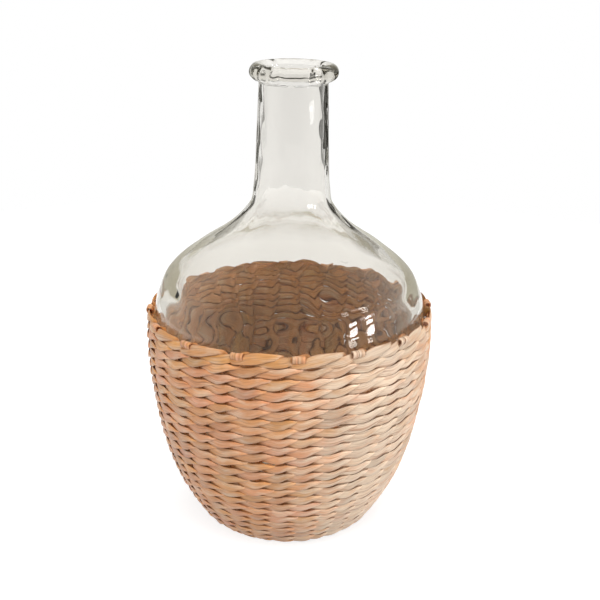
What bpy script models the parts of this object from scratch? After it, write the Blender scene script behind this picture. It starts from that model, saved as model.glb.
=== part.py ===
"""Bottle vase of thick recycled glass, standing in a twined basket of flat leaf strands.

Metres, +Z up. The vase stands on z = 0 with its axis on Z, and the camera side is -Y.
The outer line of the basket is the master curve: stakes, wall and the hidden part of the
glass are offsets of it, so they stay seated when a size changes.
"""

import math

import bmesh
import bpy
import numpy as np
from mathutils import Vector, geometry

MM = 0.001

# Bottle, as (radius, height) where a designer would measure it
HEIGHT = 400 * MM
SHOULDER_LINE = (
    (113.8, 206.0),
    (104.6, 226.0),
    (81.4, 246.0),
    (52.6, 266.0),
    (34.6, 286.0),
    (31.9, 299.0),
    (30.6, 316.0),
)
NECK_TOP_RADIUS = 28.1 * MM
LIP_RADIUS = 36.0 * MM
LIP_HEIGHT = 13.5 * MM
MOUTH_RADIUS = 23.8 * MM
GLASS = 3.6 * MM
GLASS_BASE = 8.0 * MM
PUNT_RISE = 14.0 * MM
FOOT_RADIUS = 52.0 * MM
BOTTLE_STEPS = 40
SPAN_STEPS = 3

# Basket, outer line from the edge of its base to its rim
BASE_RADIUS = 70.0 * MM
BASKET_LINE = (
    (79.0, 4.6),
    (85.2, 13.5),
    (93.6, 28.2),
    (104.0, 50.7),
    (112.6, 78.9),
    (118.8, 112.7),
    (123.0, 146.5),
    (124.0, 174.6),
    (122.5, 196.0),
)
STAKES = 32
COURSES = 24
BORDER_SHARE = 1.35
WALL = 4.4 * MM
CROWN = 1.6 * MM
GAP = 0.4 * MM

# Twining: how deep the surface lies below a stitch's crest
EYE_DEPTH = 3.0 * MM
SLOT_DEPTH = 1.7 * MM
CREST_DEPTH = 0.0 * MM
STITCH_SLANT = 0.5
BORDER_STRETCH = 0.22

# Stakes: flat strands, half of them folded over the rim
STAKE_THICKNESS = 1.5 * MM
STAKE_WIDTH = 8.0 * MM
STAKE_START = 42.0 * MM
STAKE_START_WIDTH = 0.8
STAKE_OFFSET = 0.25
FOLD_DROP = 10.0 * MM
FOLD_STEPS = 4
FIRST_STAKE_DEG = -86.5

# Course lines that the stakes, the wall's inner face and the hidden glass share
SHARED_LINES = (0, 1, 3, 6, 10, 15, 20, 24)


def smooth_line(stations, start_direction=None, steps=24):
    """Points of a curve through the stations, by Bezier spans with even handles."""
    knots = [Vector(station) for station in stations]
    tangents = []
    for i, knot in enumerate(knots):
        before = knots[max(i - 1, 0)]
        after = knots[min(i + 1, len(knots) - 1)]
        tangents.append((after - before).normalized())
    if start_direction is not None:
        tangents[0] = Vector(start_direction)
    points = [knots[0]]
    for a, b, ta, tb in zip(knots, knots[1:], tangents, tangents[1:]):
        reach = (b - a).length / 3
        span = geometry.interpolate_bezier(a, a + ta * reach, b - tb * reach, b, steps)
        points.extend(span[1:])
    return np.array([tuple(p) for p in points])


def metres(stations):
    return [(r * MM, z * MM) for r, z in stations]


class MasterCurve:
    """The basket's outer line by arc length, with its outward normal."""

    def __init__(self):
        stations = [(BASE_RADIUS, 0.0)] + metres(BASKET_LINE)
        self.points = smooth_line(stations, start_direction=(1.0, 0.0))
        steps = np.linalg.norm(np.diff(self.points, axis=0), axis=1)
        self.arc = np.concatenate([[0.0], np.cumsum(steps)])
        slopes = np.gradient(self.points, self.arc, axis=0)
        slopes /= np.linalg.norm(slopes, axis=1)[:, None]
        self.normals = np.stack([slopes[:, 1], -slopes[:, 0]], axis=1)
        self.normals[0] = (0.0, -1.0)

    def at(self, arc, depth=0.0):
        """(radius, height) at this arc length, depth below the outer line."""
        point = [np.interp(arc, self.arc, self.points[:, k]) for k in (0, 1)]
        normal = [np.interp(arc, self.arc, self.normals[:, k]) for k in (0, 1)]
        length = math.hypot(*normal)
        return tuple(p - depth * n / length for p, n in zip(point, normal))


def course_arcs(curve):
    """Arc length of each line between courses; the border course is the tallest."""
    shares = [1.0] * (COURSES - 1) + [BORDER_SHARE]
    edges = np.concatenate([[0.0], np.cumsum(shares)])
    return edges / edges[-1] * curve.arc[-1]


def around(radius, height, pitches):
    """World point at this many stake pitches round from the first stake."""
    angle = math.radians(FIRST_STAKE_DEG) + (pitches - STAKE_OFFSET) * math.tau / STAKES
    return Vector((radius * math.cos(angle), radius * math.sin(angle), height))


def material(name, colour, roughness, transmission=0.0):
    made = bpy.data.materials.new(name)
    made.use_nodes = True
    made.diffuse_color = (*colour, 1.0)
    shader = made.node_tree.nodes["Principled BSDF"]
    shader.inputs["Base Color"].default_value = (*colour, 1.0)
    shader.inputs["Roughness"].default_value = roughness
    shader.inputs["Metallic"].default_value = 0.0
    shader.inputs["Transmission Weight"].default_value = transmission
    return made


def add(name, data, finish, collection):
    obj = bpy.data.objects.new(name, data)
    data.materials.append(finish)
    collection.objects.link(obj)
    return obj


def turned(name, profile, steps, finish, collection):
    """A Screw round Z of a profile that starts and ends on the axis."""
    mesh = bpy.data.meshes.new(name)
    edges = [(i, i + 1) for i in range(len(profile) - 1)]
    mesh.from_pydata([(r, 0.0, z) for r, z in profile], edges, [])
    obj = add(name, mesh, finish, collection)
    screw = obj.modifiers.new("Turn", "SCREW")
    screw.steps = steps
    screw.render_steps = steps
    screw.use_merge_vertices = True
    screw.merge_threshold = 0.00005
    return obj


def bottle_outer(curve, arcs):
    """Outer line of the glass from the foot to the top of the neck."""
    depth = WALL + STAKE_THICKNESS + 2 * GAP
    hidden = [curve.at(arcs[k], depth) for k in SHARED_LINES]
    neck = (NECK_TOP_RADIUS, HEIGHT - LIP_HEIGHT)
    visible = smooth_line([hidden[-2], hidden[-1]] + metres(SHOULDER_LINE) + [neck], steps=SPAN_STEPS)
    at_rim = next(i for i, p in enumerate(visible) if math.dist(p, hidden[-1]) < GAP)
    return hidden[:-1] + [tuple(p) for p in visible[at_rim:]]


def bottle_profile(curve, arcs):
    outer = bottle_outer(curve, arcs)
    floor = outer[0][1]
    line = np.array(outer)
    slopes = np.gradient(line, axis=0)
    slopes /= np.linalg.norm(slopes, axis=1)[:, None]
    inner = line - GLASS * np.stack([slopes[:, 1], -slopes[:, 0]], axis=1)
    hidden = len(SHARED_LINES)
    inner = [tuple(p) for p in (*inner[:hidden], *inner[hidden + 1 :: 2])]
    inner = [p for p in inner if p[1] > floor + GLASS_BASE]
    crest = floor + PUNT_RISE
    inside = [(0.0, crest + GLASS), (FOOT_RADIUS * 0.45, crest + GLASS * 0.4)]
    inside += [(FOOT_RADIUS, floor + GLASS_BASE)] + inner[:-1]
    half = LIP_HEIGHT / 2
    middle = HEIGHT - half
    lip = [(MOUTH_RADIUS + 0.8 * MM, HEIGHT - LIP_HEIGHT), (MOUTH_RADIUS, HEIGHT - half)]
    lip += [(MOUTH_RADIUS + 1.2 * MM, HEIGHT - 0.1 * LIP_HEIGHT), (MOUTH_RADIUS + half * 0.6, HEIGHT)]
    for degrees in (75, 40, 0, -40, -75):
        turn = math.radians(degrees)
        bulge = LIP_RADIUS - half + half * math.cos(turn)
        lip.append((bulge, middle + half * math.sin(turn)))
    under = [(FOOT_RADIUS, floor), (FOOT_RADIUS * 0.8, floor + 0.35 * PUNT_RISE)]
    under += [(FOOT_RADIUS * 0.4, floor + 0.85 * PUNT_RISE), (0.0, crest)]
    return inside + lip + outer[::-1] + under


def base_profile():
    """The basket's woven floor: flat underneath, with a rounded inner edge on top."""
    edge = BASE_RADIUS - GAP
    return [
        (0.0, WALL - CROWN / 2),
        (edge * 0.5, WALL - CROWN / 3),
        (edge - CROWN, WALL),
        (edge, WALL - CROWN),
        (edge, 0.0),
        (0.0, 0.0),
    ]


def wall_mesh(curve, arcs):
    """The twined wall: a band of slanting stitches for each course, closed at the back."""
    rings = bmesh.new()
    eyes, slots = [], []
    for n, arc in enumerate(arcs):
        at_end = n in (0, COURSES)
        eye = curve.at(arc, CREST_DEPTH + (SLOT_DEPTH if at_end else EYE_DEPTH))
        slot = curve.at(arc, CREST_DEPTH + SLOT_DEPTH)
        into_border = n >= COURSES - 1
        row_eyes, row_slots = [], []
        for j in range(STAKES):
            shift = BORDER_STRETCH * (-1) ** j if into_border else 0.0
            eye_shift = shift if n == COURSES else 0.0
            row_eyes.append(rings.verts.new(around(*eye, j + eye_shift)))
            row_slots.append(rings.verts.new(around(*slot, j - STITCH_SLANT + shift)))
        eyes.append(row_eyes)
        slots.append(row_slots)
    for n in range(COURSES):
        low, high = arcs[n], arcs[n + 1]
        crests = []
        for j in range(STAKES):
            shift = BORDER_STRETCH * (-1) ** j if n == COURSES - 1 else 0.0
            left = curve.at(low + 0.40 * (high - low), CREST_DEPTH)
            right = curve.at(low + 0.60 * (high - low), CREST_DEPTH)
            start = around(*left, j - 0.05 + shift)
            end = around(*right, j + 0.55 - shift)
            crests.append((rings.verts.new(start), rings.verts.new(end)))
        for j in range(STAKES):
            k = (j + 1) % STAKES
            a0, a1, a2 = slots[n][j], eyes[n][j], slots[n][k]
            b0, b1, b2 = eyes[n + 1][j], slots[n + 1][k], eyes[n + 1][k]
            c0, c1 = crests[j]
            for corners in (
                (a0, a1, c0),
                (a1, c1, c0),
                (a1, a2, c1),
                (a2, b2, c1),
                (b2, b1, c1),
                (b1, c0, c1),
                (b1, b0, c0),
                (b0, a0, c0),
            ):
                rings.faces.new(corners)
    backs = [outline(slots[0], eyes[0])]
    for k in SHARED_LINES:
        backs.append(back_ring(rings, curve.at(arcs[k], WALL)))
    rim = curve.at(arcs[-1], WALL / 2)
    backs.append(back_ring(rings, (rim[0], rim[1] + CROWN)))
    backs.append(outline(slots[-1], eyes[-1]))
    for lower, upper in zip(backs, backs[1:]):
        for j in range(2 * STAKES):
            k = (j + 1) % (2 * STAKES)
            rings.faces.new((lower[j], upper[j], upper[k], lower[k]))
    mesh = bpy.data.meshes.new("twined_wall")
    rings.to_mesh(mesh)
    rings.free()
    return mesh


def outline(slots, eyes):
    """The wall's edge line, slot and eye in turn."""
    return [vert for pair in zip(slots, eyes) for vert in pair]


def back_ring(rings, point):
    return [rings.verts.new(around(*point, k * 0.5 - STITCH_SLANT)) for k in range(2 * STAKES)]


def stake_path(curve, arcs, folded):
    """Middle line of a stake in its own upright plane, as (radius, height)."""
    depth = WALL + GAP + STAKE_THICKNESS / 2
    path = [curve.at(arcs[k], depth) for k in SHARED_LINES]
    path.insert(0, (STAKE_START, path[0][1]))
    if not folded:
        last, before = Vector(path[-1]), Vector(path[-2])
        path[-1] = tuple(last.lerp(before, 0.12))
        return path
    top = curve.at(arcs[-1], WALL / 2)
    reach = WALL / 2 + GAP + STAKE_THICKNESS / 2
    rise = CROWN + GAP + STAKE_THICKNESS / 2
    for step in range(1, FOLD_STEPS):
        turn = math.pi * (1 - step / FOLD_STEPS)
        path.append((top[0] + reach * math.cos(turn), top[1] + rise * math.sin(turn)))
    for share in (0.0, 0.5, 1.0):
        path.append(curve.at(arcs[-1] - share * FOLD_DROP, -GAP - STAKE_THICKNESS / 2))
    return path


def stake(number, curve, arcs, finish, collection):
    """A flat strand: a ribbon curve in an upright plane, given its thickness by Solidify."""
    name = f"stake_{number + 1:02d}"
    data = bpy.data.curves.new(name, "CURVE")
    data.dimensions = "2D"
    data.fill_mode = "NONE"
    data.extrude = STAKE_WIDTH / 2
    path = stake_path(curve, arcs, folded=number % 2 == 0)
    spline = data.splines.new("POLY")
    spline.points.add(len(path) - 1)
    for point, (radius, height) in zip(spline.points, path):
        point.co = (radius, height, 0.0, 1.0)
    spline.points[0].radius = STAKE_START_WIDTH
    obj = add(name, data, finish, collection)
    angle = math.radians(FIRST_STAKE_DEG) + number * math.tau / STAKES
    obj.rotation_euler = (math.pi / 2, 0.0, angle)
    leaf = obj.modifiers.new("Leaf", "SOLIDIFY")
    leaf.thickness = STAKE_THICKNESS
    leaf.offset = 0.0
    leaf.use_even_offset = True
    return obj


def main():
    for obj in list(bpy.data.objects):
        bpy.data.objects.remove(obj, do_unlink=True)
    collection = bpy.data.collections.new("jute_wrapped_vase")
    bpy.context.scene.collection.children.link(collection)
    glass = material("recycled clear glass", (0.80, 0.84, 0.78), 0.04, transmission=1.0)
    leaf = material("dried leaf strand", (0.62, 0.38, 0.22), 0.7)
    shaded_leaf = material("dried leaf strand, inner", (0.50, 0.30, 0.17), 0.75)
    curve = MasterCurve()
    arcs = course_arcs(curve)
    turned("glass_bottle", bottle_profile(curve, arcs), BOTTLE_STEPS, glass, collection)
    turned("basket_base", base_profile(), 2 * STAKES, shaded_leaf, collection)
    add("twined_wall", wall_mesh(curve, arcs), leaf, collection)
    for number in range(STAKES):
        stake(number, curve, arcs, shaded_leaf, collection)


main()
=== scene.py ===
"""Bottle vase of recycled glass in a basket twined from dried leaf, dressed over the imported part."""

import math

import bpy
import numpy as np
from mathutils import Matrix, Vector, geometry


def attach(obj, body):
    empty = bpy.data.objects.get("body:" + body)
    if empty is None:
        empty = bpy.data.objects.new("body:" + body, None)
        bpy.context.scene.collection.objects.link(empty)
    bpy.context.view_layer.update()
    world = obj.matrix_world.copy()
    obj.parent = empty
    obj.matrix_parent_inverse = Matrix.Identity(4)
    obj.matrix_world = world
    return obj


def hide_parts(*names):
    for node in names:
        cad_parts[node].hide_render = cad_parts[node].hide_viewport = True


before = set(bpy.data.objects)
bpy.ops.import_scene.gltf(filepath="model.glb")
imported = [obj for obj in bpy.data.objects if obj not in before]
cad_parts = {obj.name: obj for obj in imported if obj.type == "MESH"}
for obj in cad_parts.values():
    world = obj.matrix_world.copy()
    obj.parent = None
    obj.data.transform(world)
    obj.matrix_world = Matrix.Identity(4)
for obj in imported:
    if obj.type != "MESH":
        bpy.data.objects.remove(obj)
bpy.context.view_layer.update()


# The basket's line
# The basket has no mould: it is woven onto the glass. Its outer line runs from the middle of
# the floor, round the edge and up to the rim, and every strand of it lies along that line.

MM = 0.001
FLOOR_EDGE = 70.0
OUTER_LINE = (
    (79.0, 4.6),
    (85.2, 13.5),
    (93.6, 28.2),
    (104.0, 50.7),
    (112.6, 78.9),
    (118.8, 112.7),
    (123.0, 146.5),
    (124.0, 174.6),
    (122.5, 196.0),
)
STAKES = 32
COURSES = 24
BORDER_SHARE = 1.35
FIRST_STAKE = math.radians(-86.5)
STAKE_OFFSET = 0.25  # in stitches, from a stitch's left end to its stake
BEYOND_RIM = 30.0

# Woven by hand, the rim stands higher at the front right and lower at the back left
RIM_LIFT = -0.6
RIM_LEAN = 3.6
RIM_LEAN_TOWARD = math.radians(-55)
TILT_LIMIT = 1.2  # of the wall's length, where the tilt stops growing

# Columns of stitches drift to and fro. Each wave has its size in stitches, the number of waves
# round the basket, the millimetres up the wall in which it turns by a radian, and its start.
COLUMN_WAVES = ((0.09, 5, 37, 0.0), (0.08, 9, -29, 1.0))
DRIFT_FREE = 14.0  # nearer to the rim than this, the columns keep their places
DRIFT_REACH = 25.0


def smooth_line(stations, start_direction=None, steps=24):
    """Points of a curve through the stations, by Bezier spans with even handles."""
    knots = [Vector(station) for station in stations]
    tangents = []
    for i, knot in enumerate(knots):
        before = knots[max(i - 1, 0)]
        after = knots[min(i + 1, len(knots) - 1)]
        tangents.append((after - before).normalized())
    if start_direction is not None:
        tangents[0] = Vector(start_direction)
    points = [knots[0]]
    for a, b, ta, tb in zip(knots, knots[1:], tangents, tangents[1:]):
        reach = (b - a).length / 3
        span = geometry.interpolate_bezier(a, a + ta * reach, b - tb * reach, b, steps)
        points.extend(span[1:])
    return np.array([tuple(p) for p in points])


class BasketLine:
    """Radius, height and outward direction by distance along the line from the floor's edge."""

    def __init__(self):
        wall = smooth_line([(FLOOR_EDGE, 0.0), *OUTER_LINE], start_direction=(1.0, 0.0))
        steps = np.linalg.norm(np.diff(wall, axis=0), axis=1)
        along = np.concatenate([[0.0], np.cumsum(steps)])
        self.length = along[-1]
        last = (wall[-1] - wall[-2]) / steps[-1]
        self.points = np.vstack([(0.0, 0.0), wall, wall[-1] + last * BEYOND_RIM])
        self.along = np.concatenate([[-FLOOR_EDGE], along, [self.length + BEYOND_RIM]])
        slopes = np.gradient(wall, along, axis=0)
        slopes /= np.linalg.norm(slopes, axis=1)[:, None]
        self.slopes = np.vstack([(1.0, 0.0), slopes, slopes[-1]])
        self.slopes[1] = (1.0, 0.0)

    def slope(self, along):
        """Direction up the wall, as (radius, height)."""
        run = np.stack([np.interp(along, self.along, self.slopes[:, k]) for k in (0, 1)], axis=-1)
        return run / np.linalg.norm(run, axis=-1, keepdims=True)

    def at(self, along, depth=0.0):
        """(radius, height) this far along, and this deep below the outer line."""
        point = np.stack([np.interp(along, self.along, self.points[:, k]) for k in (0, 1)], axis=-1)
        run = self.slope(along)
        inward = np.stack([-run[..., 1], run[..., 0]], axis=-1)
        return point + np.asarray(depth)[..., None] * inward


line = BasketLine()
course = line.length / (COURSES - 1 + BORDER_SHARE)


def waving(waves, pitch, along):
    """The sum of these waves at this place on the basket."""
    angle = pitch * math.tau / STAKES
    return sum(size * np.sin(count * angle + along / reach + start) for size, count, reach, start in waves)


def drift(pitch, along):
    """How far the columns of stitches drift round the basket, in stitches."""
    below_rim = np.clip((line.length - DRIFT_FREE - along) / DRIFT_REACH, 0.0, 1.0)
    return below_rim * waving(COLUMN_WAVES, pitch, along)


def places(pitch, along, depth):
    """World middle, up-the-wall and outward directions. pitch counts stitches round the basket."""
    pitch, along, depth = np.broadcast_arrays(pitch, along, depth)
    angle = FIRST_STAKE + (pitch - STAKE_OFFSET + drift(pitch, along)) * math.tau / STAKES
    radius, height = np.moveaxis(line.at(along, depth), -1, 0)
    up_wall = np.clip(along / line.length, 0.0, TILT_LIMIT) ** 2
    height = height + up_wall * (RIM_LIFT + RIM_LEAN * np.cos(angle - RIM_LEAN_TOWARD))
    run = line.slope(along)
    cos, sin = np.cos(angle), np.sin(angle)
    middle = np.stack([radius * cos, radius * sin, height], axis=-1)
    up = np.stack([run[..., 0] * cos, run[..., 0] * sin, run[..., 1]], axis=-1)
    out = np.stack([run[..., 1] * cos, run[..., 1] * sin, -run[..., 0]], axis=-1)
    return middle, up, out


# One side of the basket, the one that faces the window, is painted paler: a painted sheen
SHEEN_TOWARD = math.radians(-50)
SHEEN_REACH = math.radians(53)


def painted_sheen_side(pitch):
    """1 in the middle of the side with the painted sheen, 0 beyond its reach."""
    angle = FIRST_STAKE + (np.asarray(pitch) - STAKE_OFFSET) * math.tau / STAKES - SHEEN_TOWARD
    angle = np.abs((angle + math.pi) % math.tau - math.pi)
    return np.cos(np.clip(angle / SHEEN_REACH, 0.0, 1.0) * math.pi / 2) ** 2


# The leaf that the basket is made of
# Long leaves, dried in the sun and split into flat strands. Each is a thin strip that curls
# a little across its width, with fine fibres along it and no two of quite the same tone.

LEAF_SECTION = ((-1.0, 0), (-0.86, 1), (-0.35, 1), (0.35, 1), (0.86, 1), (1.0, 0), (0.7, -1), (-0.7, -1))
EDGE_THINNING = 0.35

# Width and length of the marks on the leaf, in millimetres
FIBRE = (0.55, 26.0)
CREASE = (1.9, 60.0)
PATCH = (6.0, 22.0)
SHEEN_PALING = 0.37  # what the side with the painted sheen adds to the pale patches
INSIDE_CREASING = -0.10  # strands on the inside are more creased
TONE_RANGE = (0.80, 1.22)  # the darkest and lightest stitch
RELIEF = 0.28
RELIEF_STRENGTH = 0.55
CREASE_RELIEF = 1.6  # against 1 for the fibres
LEAF_IOR = 1.6
LEAF_SPECULAR = 0.9


def leaf_strip(middle, across, out, width, thickness, curl, run, tone, looped=False):
    """Vertices, faces and what the leaf's material reads, for one strand along middle."""
    count, ring = len(middle), len(LEAF_SECTION)
    side = np.array([s for s, _ in LEAF_SECTION])
    face = np.array([f for _, f in LEAF_SECTION])
    width, thickness, curl = (np.broadcast_to(v, count)[:, None] for v in (width, thickness, curl))
    offset_across = side * width / 2
    offset_out = face * thickness / 2 * (1 - EDGE_THINNING * side**2) - curl * side**2
    shift_across = offset_across[..., None] * across[:, None]
    shift_out = offset_out[..., None] * out[:, None]
    points = middle[:, None] + shift_across + shift_out
    rows = np.arange(count if looped else count - 1)
    after = (rows + 1) % count
    here, beside = np.arange(ring), (np.arange(ring) + 1) % ring
    faces = np.stack(
        [
            rows[:, None] * ring + here,
            rows[:, None] * ring + beside,
            after[:, None] * ring + beside,
            after[:, None] * ring + here,
        ],
        axis=-1,
    ).reshape(-1, 4)
    faces = faces.tolist()
    if not looped:
        faces.append(list(range(ring))[::-1])
        faces.append(list(range((count - 1) * ring, count * ring)))
    strand_run = np.broadcast_to(np.asarray(run)[:, None], offset_across.shape)
    leaf_run = np.stack([offset_across, strand_run], axis=-1)
    leaf_tone = np.broadcast_to(np.asarray(tone)[:, None], (count, ring, np.shape(tone)[-1]))
    leaf_edge = np.broadcast_to(np.abs(side) == 1.0, (count, ring))
    reads = np.dstack([leaf_run, leaf_tone, leaf_edge])
    return points.reshape(-1, 3), faces, reads.reshape(count * ring, -1)


def leaf_piece(name, strips, finish, nodes):
    """One object of leaf strips, which rides on the vase and stands for its CAD nodes."""
    points, faces, reads = [], [], []
    for number, (strip_points, strip_faces, strip_reads) in enumerate(strips):
        base = sum(len(p) for p in points)
        points.append(strip_points)
        faces += [[base + v for v in face] for face in strip_faces]
        reads.append(np.insert(strip_reads, 2, number, axis=1))
    # Across, along and number of the strip; light, rosy and painted shade behind; painted sheen and the
    # painted shade line at the edges
    reads = np.vstack(reads).astype(np.float32)
    mesh = bpy.data.meshes.new(name)
    mesh.from_pydata((np.vstack(points) * MM).tolist(), [], faces)
    for label, columns in (("leaf_run", [0, 1, 2]), ("leaf_tone", [3, 4, 5]), ("leaf_painted_light", [6, 7, 7])):
        attribute = mesh.attributes.new(label, "FLOAT_VECTOR", "POINT")
        attribute.data.foreach_set("vector", reads[:, columns].ravel())
    mesh.shade_smooth()
    mesh.materials.append(finish)
    piece = bpy.data.objects.new(name, mesh)
    bpy.context.scene.collection.objects.link(piece)
    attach(piece, "root")
    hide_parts(*nodes)


def linear(hex_colour):
    """Linear colour of an sRGB hex value."""
    parts = [int(hex_colour[i : i + 2], 16) / 255 for i in (1, 3, 5)]
    parts = [c / 12.92 if c <= 0.04045 else ((c + 0.055) / 1.055) ** 2.4 for c in parts]
    return (*parts, 1.0)


def add_node(tree, kind, inputs=None, **settings):
    """A node with its settings, and with each input set or linked."""
    made = tree.nodes.new(kind)
    for key, value in settings.items():
        setattr(made, key, value)
    for key, value in (inputs or {}).items():
        if isinstance(value, bpy.types.NodeSocket):
            tree.links.new(value, made.inputs[key])
        else:
            made.inputs[key].default_value = value
    return made


def dried_leaf(name, straw, rose, bleached_and_sheen, vein, inside, painted_edge_shade, roughness):
    """Sun-dried leaf with its waxy skin left on. Fine darker fibres run along it, patches of it are
    paler, and each stitch has its own tone between straw and rose. Where a strand lies behind it
    has a painted shade, one side of the basket has a painted sheen, and the edges are a darker
    brown: a painted shade line round each stitch."""
    made = bpy.data.materials.new(name)
    made.use_nodes = True
    tree = made.node_tree
    shader = tree.nodes["Principled BSDF"]
    run = add_node(tree, "ShaderNodeAttribute", attribute_name="leaf_run").outputs["Vector"]
    tone = add_node(tree, "ShaderNodeAttribute", attribute_name="leaf_tone").outputs["Vector"]
    tones = add_node(tree, "ShaderNodeSeparateXYZ", {"Vector": tone}).outputs
    painted_light = add_node(tree, "ShaderNodeAttribute", attribute_name="leaf_painted_light").outputs["Vector"]
    painted_sheen, edge = add_node(tree, "ShaderNodeSeparateXYZ", {"Vector": painted_light}).outputs[:2]

    def streaks(across, along, seed, detail):
        """Noise in streaks of this many millimetres across and along the strand."""
        scaled = add_node(
            tree, "ShaderNodeVectorMath", {0: run, 1: (1 / across, 1 / along, seed)}, operation="MULTIPLY"
        )
        noise = {"Vector": scaled.outputs[0], "Scale": 1.0, "Detail": detail, "Roughness": 0.55}
        return add_node(tree, "ShaderNodeTexNoise", noise).outputs["Fac"]

    fibre = streaks(*FIBRE, 7.3, 2.0)
    crease = streaks(*CREASE, 5.9, 1.0)
    patch = streaks(*PATCH, 3.1, 3.0)
    bleach_and_sheen = add_node(tree, "ShaderNodeMath", {0: painted_sheen, 1: SHEEN_PALING, 2: patch}, operation="MULTIPLY_ADD")
    folded = add_node(
        tree, "ShaderNodeMath", {0: tones[2], 1: INSIDE_CREASING, 2: crease}, operation="MULTIPLY_ADD"
    )
    colour = add_node(
        tree, "ShaderNodeMix", {0: tones[1], 6: linear(straw), 7: linear(rose)}, data_type="RGBA"
    ).outputs[2]
    # Each layer has what drives it, where it begins and is full, how much it then covers, its colour
    for driver, begins, full, cover, layer in (
        # Pale patches of the leaf's own, and on one side of the basket a painted sheen
        (bleach_and_sheen.outputs[0], 0.45, 0.85, 0.85, bleached_and_sheen),
        (fibre, 0.52, 0.30, 0.55, vein),
        (folded.outputs[0], 0.40, 0.28, 0.6, vein),
        # Strands that lie behind are painted browner: a painted shade
        (tones[2], 0.0, 1.0, 0.6, inside),
        # A darker brown at the edges: a painted shade line round each stitch
        (edge, 0.0, 1.0, 0.9, painted_edge_shade),
    ):
        span = {"Value": driver, "From Min": begins, "From Max": full, "To Max": cover}
        amount = add_node(tree, "ShaderNodeMapRange", span).outputs["Result"]
        colour = add_node(
            tree, "ShaderNodeMix", {0: amount, 6: colour, 7: linear(layer)}, data_type="RGBA"
        ).outputs[2]
    darkest, lightest = TONE_RANGE
    span = {"Value": tones[0], "To Min": darkest, "To Max": lightest}
    lightness = add_node(tree, "ShaderNodeMapRange", span).outputs["Result"]
    toned = add_node(tree, "ShaderNodeHueSaturation", {"Value": lightness, "Color": colour})
    tree.links.new(toned.outputs["Color"], shader.inputs["Base Color"])
    shader.inputs["IOR"].default_value = LEAF_IOR
    shader.inputs["Specular IOR Level"].default_value = LEAF_SPECULAR
    # The dark fibres are a little duller than the leaf between them
    span = {"Value": fibre, "From Min": 0.3, "From Max": 0.7}
    span |= {"To Min": roughness + 0.1, "To Max": roughness - 0.06}
    gloss = add_node(tree, "ShaderNodeMapRange", span)
    tree.links.new(gloss.outputs["Result"], shader.inputs["Roughness"])
    heights = {0: crease, 1: CREASE_RELIEF, 2: fibre}
    relief = add_node(tree, "ShaderNodeMath", heights, operation="MULTIPLY_ADD")
    raised = {"Strength": RELIEF_STRENGTH, "Distance": RELIEF * MM, "Height": relief.outputs[0]}
    bump = add_node(tree, "ShaderNodeBump", raised)
    tree.links.new(bump.outputs["Normal"], shader.inputs["Normal"])
    return made


leaf = dried_leaf(
    "dried leaf, waxy skin",
    straw="#E2A25C",
    rose="#DE976C",
    # Pale patches, and the painted sheen on one side
    bleached_and_sheen="#EFDABF",
    vein="#9C5C2A",
    # Painted shade, for strands that lie behind
    inside="#C67E38",
    # Painted shade, for the line at the edges
    painted_edge_shade="#8C4E26",
    roughness=0.44,
)


# Stakes
# The uprights are bundles of four leaf strips, laid side by side. They start on the floor and
# bend up the wall between the weavers. Every second one folds over the rim and is tucked in.

STAKE_START = 42.0
STAKE_DEPTH = 3.4
STAKE_LEAN = 0.38  # in stitches: how far the weave leans each stake over, below the rim
STRIP_WIDTH = 1.9
STRIP_THICKNESS = 0.9
STRIP_PITCH = 1.6
WRAP_STRIP_WIDTH = 3.2
WRAP_STRIP_PITCH = 2.5
STRIP_CURL = 0.35
STRIP_WIDTHS = (0.9, 1.08)  # least and most, against the usual width
STRIP_STRAY = 0.25
STRIP_LIFT = (-0.15, 0.35)
STAKE_STATIONS = 46
FOLD_STATIONS = 4  # in which a folded stake spreads to the wrap's width
FOLDED_TOP = 12.0  # below the rim
PLAIN_TOP = 4.0
LEAN_FREE = 6.0  # nearer to the rim than this, the stakes stand upright
LEAN_REACH = 14.0
WRAP_PATH = (  # along from the rim, depth below the outer line
    (-7.0, 4.4),
    (-3.2, 4.3),
    (-1.4, 3.4),
    (-0.9, 1.7),
    (-1.5, 0.1),
    (-2.7, -0.3),
    (-3.8, -0.1),
    (-4.9, 0.5),
    (-5.8, 1.7),
    (-6.8, 3.3),
)

chance = np.random.default_rng(11)


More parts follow.
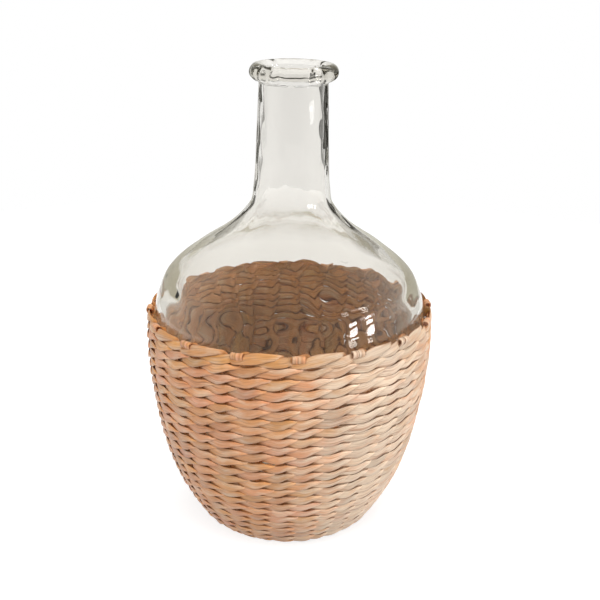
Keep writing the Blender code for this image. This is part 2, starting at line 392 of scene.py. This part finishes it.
def stake_strips(number):
    """The four leaf strips of one stake; even numbers fold over the rim."""
    folded = number % 2 == 0
    top = line.length - (FOLDED_TOP if folded else PLAIN_TOP)
    start = STAKE_START - FLOOR_EDGE
    wall = [(along, STAKE_DEPTH) for along in np.linspace(start, top, STAKE_STATIONS)]
    stations = wall + [(line.length + a, d) for a, d in WRAP_PATH] if folded else wall
    path = smooth_line(stations, steps=3)
    wrapped = np.zeros(len(path))
    if folded:
        station = np.arange(len(path)) / 2
        wrapped = np.clip((station - (STAKE_STATIONS - 2)) / FOLD_STATIONS, 0.0, 1.0)
    below_rim = np.clip((line.length - LEAN_FREE - path[:, 0]) / LEAN_REACH, 0.0, 1.0)
    leaning = STAKE_LEAN * below_rim * (1 - wrapped)
    strips = []
    for side in (-1.5, -0.5, 0.5, 1.5):
        gap = STRIP_PITCH + (WRAP_STRIP_PITCH - STRIP_PITCH) * wrapped
        width = STRIP_WIDTH + (WRAP_STRIP_WIDTH - STRIP_WIDTH) * wrapped
        width = width * chance.uniform(*STRIP_WIDTHS)
        stray = chance.normal(0.0, STRIP_STRAY) * wrapped
        depth = path[:, 1] - wrapped * chance.uniform(*STRIP_LIFT)
        radius = np.maximum(line.at(path[:, 0], 0.0)[:, 0], 1.0)
        shift = (side * gap + stray) / radius * STAKES / math.tau
        middle, _, _ = places(number + STAKE_OFFSET + shift + leaning, path[:, 0], depth)
        run = np.gradient(middle, axis=0)
        run /= np.linalg.norm(run, axis=1)[:, None]
        angle = FIRST_STAKE + number * math.tau / STAKES
        across = np.tile((-math.sin(angle), math.cos(angle), 0.0), (len(path), 1))
        out = np.cross(across, run)
        length = np.concatenate([[0.0], np.cumsum(np.linalg.norm(np.diff(middle, axis=0), axis=1))])
        light, rosy = chance.uniform(0.2, 0.9), chance.uniform(0.3, 1.0)
        painted_sheen = painted_sheen_side(np.full(len(path), number + STAKE_OFFSET))
        light, rosy = np.full(len(path), light), np.full(len(path), rosy)
        # The stake's strips get a painted shade, except where they fold out over the rim, and the painted
        # sheen
        tone = np.column_stack([light, rosy, 1.0 - wrapped, painted_sheen])
        strips.append(leaf_strip(middle, across, out, width, STRIP_THICKNESS, STRIP_CURL, length, tone))
    return strips


for number in range(STAKES):
    leaf_piece(
        f"stake_{number + 1:02d}_strips",
        stake_strips(number),
        leaf,
        [f"stake_{number + 1:02d}"],
    )


# The pair of weavers
# Two flat strands twine round the stakes: one passes in front of a stake while the other
# passes behind it, and they change places in each gap, always with the same twist. They start
# on the floor, go round its edge and climb the wall in one spiral.

STITCH_MIDDLE = 0.67
STITCH_LEVEL = 0.65  # of a course, from its lower limit to the middle of a stitch
STITCH = (  # stitches round from its middle; lower and upper edge in courses; depth in mm; tilt
    (-0.90, -0.62, 0.63, 4.8, -5.0),
    (-0.82, -0.58, 0.54, 4.1, 0.0),
    (-0.74, -0.53, 0.44, 3.4, 5.0),
    (-0.66, -0.49, 0.44, 2.9, 7.0),
    (-0.56, -0.50, 0.49, 2.6, 8.0),
    (-0.46, -0.53, 0.52, 2.4, 9.0),
    (-0.36, -0.56, 0.52, 2.2, 9.0),
    (-0.26, -0.57, 0.46, 1.9, 8.0),
    (-0.14, -0.56, 0.41, 1.5, 7.0),
    (0.00, -0.48, 0.44, 1.15, 6.0),
    (0.14, -0.34, 0.51, 1.0, 6.0),
    (0.28, -0.17, 0.58, 0.95, 5.0),
    (0.42, 0.00, 0.57, 1.0, 4.0),
    (0.54, 0.10, 0.49, 1.2, 3.0),
    (0.64, 0.18, 0.43, 1.7, 0.0),
    (0.71, 0.14, 0.46, 2.7, -2.0),
    (0.78, -0.14, 0.70, 3.9, -4.0),
    (0.88, -0.56, 0.66, 4.8, -6.0),
)
WEAVER_THICKNESS = 1.15
CURL = 0.32
TIP = 0.55  # where a stitch stands out most; its leaf is painted paler there, a painted highlight
TIP_REACH = 0.3
TIP_HIGHLIGHT = 0.45
SECTIONS = 12  # per stitch
BACK = 16.0 + STAKE_OFFSET  # stitches from the first stake to the back
CLIMB = 0.14  # of a turn, at the back, in which a weaver climbs to its next course
LEAST_DEPTH = 0.7
INSIDE_DEPTH = 2.9  # deeper than this, a strand begins to lie behind
INSIDE_REACH = 1.2

# No two stitches are alike. These are spreads, from stitch to stitch
PLACE_SPREAD = 0.055  # in stitches
LEVEL_SPREAD = 0.32
DEPTH_SPREAD = 0.14
WIDTH_SPREAD = 0.06  # of the width
TILT_SPREAD = 0.04  # in radians
NEIGHBOURS = 9  # stitches whose tones drift together

# Courses wander up and down by this many millimetres, in waves like those of the columns
WANDER = 0.45
COURSE_WAVES = ((1.0, 3, 15, 0.0), (0.8, 5, -11, 2.1), (0.7, 11, 13, 0.6))


def eased(values, at):
    """Values given at whole numbers, joined by smooth steps."""
    low = np.clip(np.floor(at).astype(int), 0, len(values) - 2)
    share = (1 - np.cos(math.pi * np.clip(at - low, 0.0, 1.0))) / 2
    return values[low] * (1 - share) + values[low + 1] * share


def periodic(stations, at, period):
    """Smooth values through stations that repeat with this period."""
    table = np.array(stations)
    keys = np.concatenate([table[:, 0] - period, table[:, 0], table[:, 0] + period])
    columns = []
    for column in table[:, 1:].T:
        values = np.tile(column, 3)
        slopes = np.gradient(values, keys)
        where = np.mod(at - keys[0], period) + keys[0] + period
        low = np.clip(np.searchsorted(keys, where) - 1, 0, len(keys) - 2)
        span = keys[low + 1] - keys[low]
        t = (where - keys[low]) / span
        columns.append(
            values[low] * (1 + 2 * t) * (1 - t) ** 2
            + values[low + 1] * t**2 * (3 - 2 * t)
            + span * t * (1 - t) * (slopes[low] * (1 - t) - slopes[low + 1] * t)
        )
    return columns


def stitch_tones(count):
    """Lightness and rosiness of each stitch: neighbours come from one leaf, so they drift."""
    kernel = np.ones(NEIGHBOURS) / math.sqrt(NEIGHBOURS)
    trend = np.convolve(chance.normal(0.0, 1.0, count + NEIGHBOURS - 1), kernel, mode="valid")
    light = np.clip(0.5 + 0.16 * trend + chance.normal(0.0, 0.16, count), 0.0, 1.0)
    rosy = np.clip(0.5 + 0.2 * np.roll(trend, 5) + chance.normal(0.0, 0.22, count), 0.0, 1.0)
    return np.stack([light, rosy], axis=-1)


def painted_shade_behind(depth):
    """0 outside to 1 inside: the part of a strand that lies behind is painted browner, a painted shade."""
    return np.clip((depth - INSIDE_DEPTH) / INSIDE_REACH, 0.0, 1.0)


def unevenness(pitch, along):
    """How far the courses wander up and down, in millimetres: neighbours wander together."""
    return WANDER * waving(COURSE_WAVES, pitch, along)


def weaver(start, stop, first_front, stakes_held=1):
    """One weaver from one course to another, as a strip."""
    count = int((stop - start) * STAKES * SECTIONS / stakes_held)
    turns = np.linspace(start, stop, count + 1)
    pitch = turns * STAKES + BACK
    stitch = (pitch - STITCH_MIDDLE) / stakes_held - first_front
    first = int(np.floor(stitch[0])) - 1
    at = stitch - first
    stitches = int(stitch[-1]) - first + 3

    def each(mean, spread):
        return eased(chance.normal(mean, spread, stitches), at)

    climbed = np.clip((turns % 1.0 - (1 - CLIMB)) / CLIMB, 0.0, 1.0)
    level = np.floor(turns) + climbed**2 * (3 - 2 * climbed)
    phase = stitch + each(0.0, PLACE_SPREAD)
    lower, upper, depth, tilt = periodic(STITCH, phase, 2.0)
    along = (level + STITCH_LEVEL + (lower + upper) / 2) * course + each(0.0, LEVEL_SPREAD)
    along = along + unevenness(pitch, along)
    depth = depth + each(0.0, DEPTH_SPREAD)
    width = course * (upper - lower) * each(1.0, WIDTH_SPREAD)
    middle, up, out = places(pitch, along, np.maximum(depth, LEAST_DEPTH))
    tilt = (np.radians(tilt) + each(0.0, TILT_SPREAD))[:, None]
    across = up * np.cos(tilt) - out * np.sin(tilt)
    out = out * np.cos(tilt) + up * np.sin(tilt)
    run = np.concatenate([[0.0], np.cumsum(np.linalg.norm(np.diff(middle, axis=0), axis=1))])
    tones = stitch_tones(stitches)
    # The tip of each stitch is painted paler: a painted highlight
    painted_tip_highlight = TIP_HIGHLIGHT * np.clip(1 - np.abs((phase + 1) % 2 - 1 - TIP) / TIP_REACH, 0.0, 1.0)
    light = eased(tones[:, 0], at) + painted_tip_highlight
    tone = np.stack([light, eased(tones[:, 1], at), painted_shade_behind(depth), painted_sheen_side(pitch)], axis=-1)
    return leaf_strip(middle, across, out, width, WEAVER_THICKNESS, CURL, run, tone)


FLOOR_COURSES = 3
INNER_COURSES = 6
FLOOR_GAP = 0.02  # of a turn, between the inner weavers and those of the wall
TAIL = 0.06  # of a turn, by which a weaver runs on past its last course
for name, first in (("floor_weaver_a", 0), ("floor_weaver_b", 1)):
    inner_part = weaver(-INNER_COURSES, -FLOOR_COURSES - FLOOR_GAP, first, stakes_held=2)
    leaf_piece(name, [inner_part], leaf, ["basket_base"])

# Two sheaves of strips cross in the middle of the floor, under the first course
CROSS_REACH = 24.0
CROSS_PITCH = 4.4
CROSS_WIDTH = 4.7
CROSS_THICKNESS = 1.2
CROSS_CURL = 0.3
CROSS_STEPS = 14
cross = []
for direction, depth in (((1.0, 0.0, 0.0), 1.3), ((0.0, 1.0, 0.0), 2.8)):
    for side in np.arange(-4, 5) * CROSS_PITCH:
        heading = np.array(direction)
        aside = np.array((-direction[1], direction[0], 0.0))
        reach = math.sqrt(max(CROSS_REACH**2 - side**2, 1.0))
        steps = np.linspace(-reach, reach, CROSS_STEPS)
        middle = steps[:, None] * heading + side * aside + (0.0, 0.0, depth)
        across = np.tile(aside, (CROSS_STEPS, 1))
        out = np.tile((0.0, 0.0, -1.0), (CROSS_STEPS, 1))
        light, rosy = chance.uniform(0.2, 0.8), chance.uniform(0.2, 0.8)
        # The cross gets a little painted shade
        tone = np.tile((light, rosy, 0.3, 0.0), (CROSS_STEPS, 1))
        cross.append(leaf_strip(middle, across, out, CROSS_WIDTH, CROSS_THICKNESS, CROSS_CURL, steps, tone))
leaf_piece("floor_cross", cross, leaf, ["basket_base"])

for name, first in (("weaver_a", 0), ("weaver_b", 1)):
    wall_part = weaver(-FLOOR_COURSES, COURSES - 1 + TAIL, first)
    leaf_piece(name, [wall_part], leaf, ["twined_wall"])


# Border
# The same twist, with a wider leaf in front of every second stake: it makes long arched
# stitches along the rim, and the other weaver shows as a short stitch under each one's tip.

BORDER_START = (COURSES - 1) * course
BORDER_SECTIONS = 16
BORDER_LAG = 0.2  # in stitches, before the first stake, where the first pair begins
BORDER_TILT = 0.10
BORDER_TILT_SPREAD = 0.05
BORDER_PLACE_SPREAD = 0.05
BORDER_LEVEL_SPREAD = 0.3
BORDER_DEPTH_SPREAD = 0.12
BORDER_WIDTH_SPREAD = 0.05
BORDER_ROSY = 0.45  # of the wall's rosiness
LONG_STITCH = (  # stitches round, along from the border's lower edge, depth, width
    (-0.16, 4.8, 4.4, 8.0),
    (-0.02, 3.9, 3.2, 6.0),
    (0.12, 3.3, 1.7, 4.4),
    (0.32, 4.2, 0.9, 5.4),
    (0.55, 6.2, 0.6, 9.0),
    (0.80, 7.4, 0.5, 10.0),
    (1.02, 8.2, 0.5, 9.2),
    (1.25, 9.0, 0.7, 7.2),
    (1.48, 9.5, 1.2, 5.6),
    (1.64, 9.4, 2.4, 4.6),
    (1.74, 7.4, 4.2, 7.0),
)
SHORT_STITCH = (
    (0.86, 2.7, 3.4, 4.6),
    (1.05, 3.0, 2.2, 5.0),
    (1.30, 3.7, 1.6, 6.4),
    (1.55, 4.5, 1.3, 8.2),
    (1.80, 5.4, 1.2, 8.8),
    (1.98, 6.2, 1.9, 7.8),
    (2.14, 6.0, 3.9, 7.4),
    (2.30, 5.6, 5.0, 10.6),
    (2.66, 5.4, 5.1, 10.6),
)


def border_strand(stations):
    """One strand of the border, all the way round."""
    pitch = np.arange(STAKES * BORDER_SECTIONS) / BORDER_SECTIONS
    at = (pitch + BORDER_LAG) / 2
    pairs = STAKES // 2

    def each(mean, spread):
        values = chance.normal(mean, spread, pairs)
        return eased(np.append(values, values[:2]), at)

    up_border, depth, width = periodic(stations, pitch + each(0.0, BORDER_PLACE_SPREAD), 2.0)
    along = BORDER_START + up_border + each(0.0, BORDER_LEVEL_SPREAD)
    along = along + unevenness(pitch, along)
    width = width * each(1.0, BORDER_WIDTH_SPREAD)
    middle, up, out = places(pitch, along, depth + each(0.0, BORDER_DEPTH_SPREAD))
    tilt = (BORDER_TILT + each(0.0, BORDER_TILT_SPREAD))[:, None]
    across = up * np.cos(tilt) - out * np.sin(tilt)
    out = out * np.cos(tilt) + up * np.sin(tilt)
    run = np.concatenate([[0.0], np.cumsum(np.linalg.norm(np.diff(middle, axis=0), axis=1))])
    tones = stitch_tones(pairs + 2) * (1.0, BORDER_ROSY)
    tones[-2:] = tones[:2]
    tone = np.stack(
        [eased(tones[:, 0], at), eased(tones[:, 1], at), painted_shade_behind(depth), painted_sheen_side(pitch)], axis=-1
    )
    return leaf_strip(middle, across, out, width, WEAVER_THICKNESS, CURL, run, tone, looped=True)


leaf_piece("border_long", [border_strand(LONG_STITCH)], leaf, ["twined_wall"])
leaf_piece("border_short", [border_strand(SHORT_STITCH)], leaf, ["twined_wall"])


# Bottle
# One piece of thick recycled glass, blown in a mould, with a rolled lip and a pushed-up base.
# Its wall is uneven inside, so it bends what is seen through it, and it is faintly grey.

HEIGHT = 400.0
SHOULDER_LINE = (
    (113.8, 206.0),
    (104.6, 226.0),
    (81.4, 246.0),
    (52.6, 266.0),
    (34.6, 286.0),
    (31.9, 299.0),
    (30.6, 316.0),
)
BASKET_DEPTH = 6.7
NECK_TOP_RADIUS = 28.1
LIP_RADIUS = 36.0
LIP_HEIGHT = 13.5
MOUTH_RADIUS = 23.8
MOUTH_LINE = (  # out from the mouth, down from the top
    (0.5, LIP_HEIGHT),
    (0.0, LIP_HEIGHT / 2),
    (0.7, 2.6),
    (2.6, 0.6),
    (5.2, 0.0),
)
GLASS = 3.6
HEAVY_GLASS = 6.4  # more of it where the shoulder begins, as the melt sags there
HEAVY_AT = 206.0
HEAVY_REACH = 30.0
GLASS_BASE = 8.0
PUNT_RISE = 14.0
FOOT_RADIUS = 52.0
TURN_STEPS = 208
WALL_STEP = 2.2
INNER_RIPPLE = 0.17
OUTER_RIPPLE = 0.06
LIP_RIPPLE = 0.22
FOOT_RISE = (20.0, 60.0)  # heights between which the waves grow to their full size
NECK_RISE = (225.0, 290.0)  # and those between which they calm down again
INNER_CALM = 0.70  # of the size, lost at the neck
OUTER_CALM = 0.3
RIPPLE_UNIT = 30.0  # a wave this long has its size in full, and others in proportion
RIPPLE_RADIUS = 110.0  # where the length of a wave round the bottle is measured


def even_points(points, step):
    """The same line with points this far apart."""
    along = np.concatenate([[0.0], np.cumsum(np.linalg.norm(np.diff(points, axis=0), axis=1))])
    places_on = np.linspace(0.0, along[-1], int(along[-1] / step) + 1)
    return np.stack([np.interp(places_on, along, points[:, k]) for k in (0, 1)], axis=-1)


def bottle_lines():
    """The glass's outer and inner line from the foot to the neck, its lip and its underside."""
    hidden = line.at(np.linspace(0.0, line.length, 12), BASKET_DEPTH)
    hidden_points = [tuple(p) for p in hidden]
    stations = hidden_points + list(SHOULDER_LINE) + [(NECK_TOP_RADIUS, HEIGHT - LIP_HEIGHT)]
    outer = even_points(smooth_line(stations, steps=16), WALL_STEP)
    slopes = np.gradient(outer, axis=0)
    slopes /= np.linalg.norm(slopes, axis=1)[:, None]
    thickness = GLASS + HEAVY_GLASS * np.exp(-(((outer[:, 1:2] - HEAVY_AT) / HEAVY_REACH) ** 2))
    inner = outer - thickness * np.stack([slopes[:, 1], -slopes[:, 0]], axis=1)
    floor = outer[0][1]
    inner = inner[inner[:, 1] > floor + GLASS_BASE]
    half = LIP_HEIGHT / 2
    middle = HEIGHT - half
    lip = [(MOUTH_RADIUS + out, HEIGHT - down) for out, down in MOUTH_LINE]
    for degrees in range(70, -91, -16):
        turn = math.radians(degrees)
        lip.append((LIP_RADIUS - half + half * math.cos(turn), middle + half * math.sin(turn)))
    crest = floor + PUNT_RISE
    floor_line = [
        (0.0, crest + GLASS),
        (FOOT_RADIUS * 0.45, crest + GLASS * 0.4),
        (FOOT_RADIUS, floor + GLASS_BASE),
        tuple(inner[0]),
    ]
    inside = smooth_line(floor_line, start_direction=(1.0, 0.0), steps=8)
    punt_line = [
        tuple(outer[0]),
        (FOOT_RADIUS, floor),
        (FOOT_RADIUS * 0.4, floor + 0.85 * PUNT_RISE),
        (0.0, crest),
    ]
    under = smooth_line(punt_line, steps=8)
    return outer, np.vstack([inside[:-1], inner]), even_points(smooth_line(lip, steps=4), 1.0), under


def ripples(count, coarse, fine, seed):
    """Waves round the bottle and up it, from coarse to fine, for the uneven glass."""
    draw = np.random.default_rng(seed)
    waves = []
    for _ in range(count):
        length = math.exp(draw.uniform(math.log(fine), math.log(coarse)))
        heading = draw.normal(0.0, 0.6)
        around = round(math.tau * RIPPLE_RADIUS / length * math.sin(heading))
        up = math.tau / length * math.cos(heading)
        waves.append((length, around, up, draw.uniform(0.0, math.tau)))
    return waves


def rippled(points, angles, waves, size):
    """Push each ring of a turned wall in and out by the waves, by size where it is 1."""
    field = np.zeros((len(points), len(angles)))
    for length, around, up, start in waves:
        field += length / RIPPLE_UNIT * np.cos(around * angles + up * points[:, 1:2] + start)
    return field * size / math.sqrt(len(waves) / 2)


def rise(points, low, high):
    """0 below the lower height and 1 above the upper one."""
    return np.clip((points[:, 1:2] - low) / (high - low), 0.0, 1.0)


def turned_bottle():
    """The glass as rings of points, from the floor of the inside over the lip to the underside."""
    outer, inner, lip, under = bottle_lines()
    angles = np.arange(TURN_STEPS) * math.tau / TURN_STEPS
    inner_size = INNER_RIPPLE * rise(inner, *FOOT_RISE) * (1 - INNER_CALM * rise(inner, *NECK_RISE))
    outer_size = OUTER_RIPPLE * rise(outer, *FOOT_RISE) * (1 - OUTER_CALM * rise(outer, *NECK_RISE))
    lip_size = LIP_RIPPLE * np.ones((len(lip), 1))
    parts = [
        (inner[1:], rippled(inner[1:], angles, ripples(40, 46.0, 17.0, 5), inner_size[1:])),
        (lip, rippled(lip, angles, ripples(12, 60.0, 20.0, 6), lip_size)),
        (outer[::-1], rippled(outer[::-1], angles, ripples(22, 60.0, 20.0, 7), outer_size[::-1])),
        (under[1:-1], np.zeros((len(under) - 2, TURN_STEPS))),
    ]
    rings = []
    for points, push in parts:
        radius = points[:, 0:1] + push
        height = np.broadcast_to(points[:, 1:2], radius.shape)
        rings.append(np.stack([radius * np.cos(angles), radius * np.sin(angles), height], axis=-1))
    rings = np.concatenate(rings)
    count = len(rings)
    vertices = np.vstack([rings.reshape(-1, 3), (0.0, 0.0, inner[0][1]), (0.0, 0.0, under[-1][1])])
    here = np.arange(TURN_STEPS)
    beside = (here + 1) % TURN_STEPS
    faces = []
    for k in range(count - 1):
        low, high = k * TURN_STEPS, (k + 1) * TURN_STEPS
        faces += np.stack([low + here, high + here, high + beside, low + beside], axis=-1).tolist()
    last = (count - 1) * TURN_STEPS
    top, bottom = count * TURN_STEPS, count * TURN_STEPS + 1
    faces += [[top, int(a), int(b)] for a, b in zip(here, beside)]
    faces += [[bottom, int(last + b), int(last + a)] for a, b in zip(here, beside)]
    mesh = bpy.data.meshes.new("bottle")
    mesh.from_pydata((vertices * MM).tolist(), [], faces)
    mesh.shade_smooth()
    return mesh


# The renderer gives up on a ray after a few bounces, which would leave the thick glass black.
# A ray still in the wall after this many turns gets the pale colour that light has there. That
# colour is fixed, so it doesn't follow another light.
MOST_TURNS = 5.5
DIFFUSE_TURNS = -20.0  # keeps that colour off light that the basket has scattered
LIP_SHADE = (0.26, 0.36)  # heights, in metres, between which that glow darkens to a painted shade at the lip
GLASS_IOR = 1.50
GLASS_DENSITY = 26.0


def recycled_glass():
    """Clear glass melted from cullet: smooth and bright, with a warm grey cast where it is
    thick. Lamps shine through it, so the basket behind it is lit."""
    made = bpy.data.materials.new("recycled glass, blown")
    made.use_nodes = True
    tree = made.node_tree
    shader = tree.nodes["Principled BSDF"]
    shader.inputs["Base Color"].default_value = linear("#FAF9F7")
    shader.inputs["Roughness"].default_value = 0.0
    shader.inputs["IOR"].default_value = GLASS_IOR
    shader.inputs["Transmission Weight"].default_value = 1.0
    output = tree.nodes["Material Output"]
    path = add_node(tree, "ShaderNodeLightPath").outputs
    clear = add_node(tree, "ShaderNodeBsdfTransparent", {"Color": linear("#F8F8F4")}).outputs["BSDF"]
    by_shadow = {0: path["Is Shadow Ray"], 1: shader.outputs["BSDF"], 2: clear}
    lit = add_node(tree, "ShaderNodeMixShader", by_shadow)
    depths = {0: path["Diffuse Depth"], 1: DIFFUSE_TURNS, 2: path["Ray Depth"]}
    seen_turns = add_node(tree, "ShaderNodeMath", depths, operation="MULTIPLY_ADD")
    caught = add_node(
        tree, "ShaderNodeMath", {0: seen_turns.outputs[0], 1: MOST_TURNS}, operation="GREATER_THAN"
    )
    spot = add_node(tree, "ShaderNodeTexCoord").outputs["Object"]
    height = add_node(tree, "ShaderNodeSeparateXYZ", {"Vector": spot}).outputs["Z"]
    span = {"Value": height, "From Min": LIP_SHADE[0], "From Max": LIP_SHADE[1]}
    toward_lip = add_node(tree, "ShaderNodeMapRange", span).outputs["Result"]
    # The glow is painted light; near the lip it turns to a painted shade
    shades = {0: toward_lip, 6: linear("#F6F5EC"), 7: linear("#3A392F")}
    painted_glow_colour = add_node(tree, "ShaderNodeMix", shades, data_type="RGBA").outputs[2]
    pale = add_node(tree, "ShaderNodeEmission", {"Color": painted_glow_colour}).outputs["Emission"]
    by_turns = {0: caught.outputs[0], 1: lit.outputs["Shader"], 2: pale}
    mixed = add_node(tree, "ShaderNodeMixShader", by_turns)
    tree.links.new(mixed.outputs["Shader"], output.inputs["Surface"])
    absorbed = {"Color": linear("#CFC9B8"), "Density": GLASS_DENSITY}
    cast = add_node(tree, "ShaderNodeVolumeAbsorption", absorbed)
    tree.links.new(cast.outputs["Volume"], output.inputs["Volume"])
    return made


bottle_mesh = turned_bottle()
bottle_mesh.materials.append(recycled_glass())
bottle = bpy.data.objects.new("bottle", bottle_mesh)
bpy.context.scene.collection.objects.link(bottle)
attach(bottle, "root")
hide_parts("glass_bottle")


# Floor, light and camera
# A white floor with a soft shadow. One window stands to the right of the vase and a larger soft
# light hangs over it. The room is pale, but dimmer on the camera's side. Two dark cards and a
# small lamp behind and beside the neck draw the dark lines and the glint in its glass.

FLOOR_RADIUS = 1.1
FLOOR_SIDES = 96
FLOOR_GLOW = 0.78  # with what the lamps add, it is seen as white


def seen_or_mirrored(tree):
    """1 for rays from the camera and for those that glass and gloss send on."""
    path = add_node(tree, "ShaderNodeLightPath").outputs
    seen = path["Is Camera Ray"]
    for ray in ("Is Glossy Ray", "Is Transmission Ray"):
        seen = add_node(tree, "ShaderNodeMath", {0: seen, 1: path[ray]}, operation="MAXIMUM").outputs[0]
    return seen


def white_floor():
    """Matt white paper. Its own glow makes it white behind the vase, and it keeps the shadow."""
    made = bpy.data.materials.new("white paper")
    made.use_nodes = True
    tree = made.node_tree
    shader = tree.nodes["Principled BSDF"]
    shader.inputs["Base Color"].default_value = linear("#AAAAAA")
    shader.inputs["Roughness"].default_value = 0.9
    shader.inputs["Specular IOR Level"].default_value = 0.0
    shader.inputs["Emission Color"].default_value = linear("#FFFFFF")
    seen = seen_or_mirrored(tree)
    glow = add_node(tree, "ShaderNodeMath", {0: seen, 1: FLOOR_GLOW}, operation="MULTIPLY")
    tree.links.new(glow.outputs[0], shader.inputs["Emission Strength"])
    return made


turn = np.arange(FLOOR_SIDES) * math.tau / FLOOR_SIDES
floor_rim = [(FLOOR_RADIUS * math.cos(a), FLOOR_RADIUS * math.sin(a), 0.0) for a in turn]
floor_mesh = bpy.data.meshes.new("floor")
floor_mesh.from_pydata(floor_rim, [], [list(range(FLOOR_SIDES))])
floor_mesh.materials.append(white_floor())
floor = bpy.data.objects.new("floor", floor_mesh)
bpy.context.scene.collection.objects.link(floor)

AIM = Vector((0.0, 0.0, 0.18))


def soft_light(name, azimuth, elevation, distance, width, height, power, mirrored=False):
    """A rectangular lamp that faces the vase. Azimuth 0 is the camera's side, 90 the right."""
    lamp = bpy.data.lights.new(name, "AREA")
    lamp.shape = "RECTANGLE"
    lamp.size, lamp.size_y = width, height
    lamp.energy = power
    a, e = math.radians(azimuth), math.radians(elevation)
    away = Vector((math.sin(a) * math.cos(e), -math.cos(a) * math.cos(e), math.sin(e)))
    holder = bpy.data.objects.new(name, lamp)
    holder.location = AIM + away * distance
    holder.rotation_euler = (-away).to_track_quat("-Z", "Y").to_euler()
    holder.visible_glossy = holder.visible_transmission = mirrored
    bpy.context.scene.collection.objects.link(holder)


# The window has two sashes of three panes
WINDOW_AZIMUTH = 62
SASH_ASIDE = 8.0
LOWEST_PANE = 8
PANE_STEP = 5.2
for sash, aside in (("left", -SASH_ASIDE), ("right", SASH_ASIDE)):
    for pane in range(3):
        name = f"{sash} sash, pane {pane}"
        azimuth, elevation = WINDOW_AZIMUTH + aside, LOWEST_PANE + PANE_STEP * pane
        soft_light(name, azimuth, elevation, 2.4, 0.28, 0.14, 2.65, mirrored=True)

# Azimuth, elevation, distance, width, height and power of each lamp that the glass doesn't mirror
for name, *values in (
    ("overhead", 10, 68, 2.0, 1.6, 1.2, 26),
    ("left fill", -40, 28, 2.6, 1.4, 1.4, 23.5),
    ("back fill", 165, 35, 2.6, 1.4, 1.4, 20),
    ("low white board", 72, -5, 1.0, 0.7, 0.2, 2.0),
):
    soft_light(name, *values)
soft_light("glint board", 62, 20.5, 0.41, 0.10, 0.022, 0.03, mirrored=True)


def dark_card(name, azimuth, distance, width, low, high, colour):
    """A card behind the neck, hidden from the camera: it draws a dark line in the glass."""
    made = bpy.data.materials.new(name)
    made.use_nodes = True
    shader = made.node_tree.nodes["Principled BSDF"]
    shader.inputs["Base Color"].default_value = linear(colour)
    shader.inputs["Roughness"].default_value = 0.9
    a = math.radians(azimuth)
    middle = np.array((math.sin(a), -math.cos(a))) * distance
    aside = np.array((math.cos(a), math.sin(a))) * width / 2
    places_on = ((-1, low), (1, low), (1, high), (-1, high))
    corners = [(*(middle + side * aside), height) for side, height in places_on]
    mesh = bpy.data.meshes.new(name)
    mesh.from_pydata(corners, [], [(0, 1, 2, 3)])
    mesh.materials.append(made)
    card = bpy.data.objects.new(name, mesh)
    bpy.context.scene.collection.objects.link(card)
    card.visible_camera = card.visible_shadow = card.visible_diffuse = False


dark_card("dark card, right", 142, 0.23, 0.14, 0.265, 0.385, "#1C1A13")
dark_card("dark card, left", -143, 0.23, 0.07, 0.25, 0.37, "#302E25")

world = bpy.data.worlds.new("pale room")
bpy.context.scene.world = world
world.use_nodes = True
tree = world.node_tree
ground = tree.nodes["Background"]
path = add_node(tree, "ShaderNodeLightPath").outputs


def by_ray(flag, otherwise, then):
    """One grey or colour for the rays with this flag, another for the rest."""
    choice = add_node(tree, "ShaderNodeMix", {0: flag, 6: otherwise, 7: then}, data_type="RGBA")
    return choice.outputs[2]


DIM_TOWARD = (0.0, -0.75, 0.66)
DIM_FROM, DIM_TO = 0.1, 0.6
STRAIGHT_DEPTH = 5.0  # of a ray straight through both walls; a wall has mirrored the others

white = linear("#FFFFFF")
dim_grey = linear("#6A6862")
direction = add_node(tree, "ShaderNodeTexCoord").outputs["Generated"]
toward_room = add_node(
    tree, "ShaderNodeVectorMath", {0: direction, 1: DIM_TOWARD}, operation="DOT_PRODUCT"
).outputs["Value"]
dim = add_node(
    tree, "ShaderNodeMapRange", {"Value": toward_room, "From Min": DIM_FROM, "From Max": DIM_TO}
).outputs["Result"]
mirrored = by_ray(dim, linear("#C4C3BB"), dim_grey)
lit = by_ray(path["Is Diffuse Ray"], mirrored, linear("#868686"))
depths = {0: path["Ray Depth"], 1: STRAIGHT_DEPTH, 2: 0.5}
straight = add_node(tree, "ShaderNodeMath", depths, operation="COMPARE").outputs[0]
beyond = by_ray(straight, by_ray(dim, white, dim_grey), white)
through = by_ray(path["Is Transmission Ray"], lit, beyond)
tree.links.new(by_ray(path["Is Camera Ray"], through, white), ground.inputs["Color"])

CAMERA_BACK = 0.80075
CAMERA_HEIGHT = 0.49995
CAMERA_PITCH = math.radians(20.66)
CAMERA_ROLL = math.radians(1.05)
camera_data = bpy.data.cameras.new("camera")
camera_data.sensor_width = 36.0
camera_data.lens = 59.05
camera_data.shift_x = 0.0173
camera = bpy.data.objects.new("camera", camera_data)
camera.matrix_world = (
    Matrix.Translation((0.0, -CAMERA_BACK, CAMERA_HEIGHT))
    @ Matrix.Rotation(math.pi / 2 - CAMERA_PITCH, 4, "X")
    @ Matrix.Rotation(CAMERA_ROLL, 4, "Z")
)
bpy.context.scene.collection.objects.link(camera)
bpy.context.scene.camera = camera
bpy.context.scene.view_settings.view_transform = "Standard"
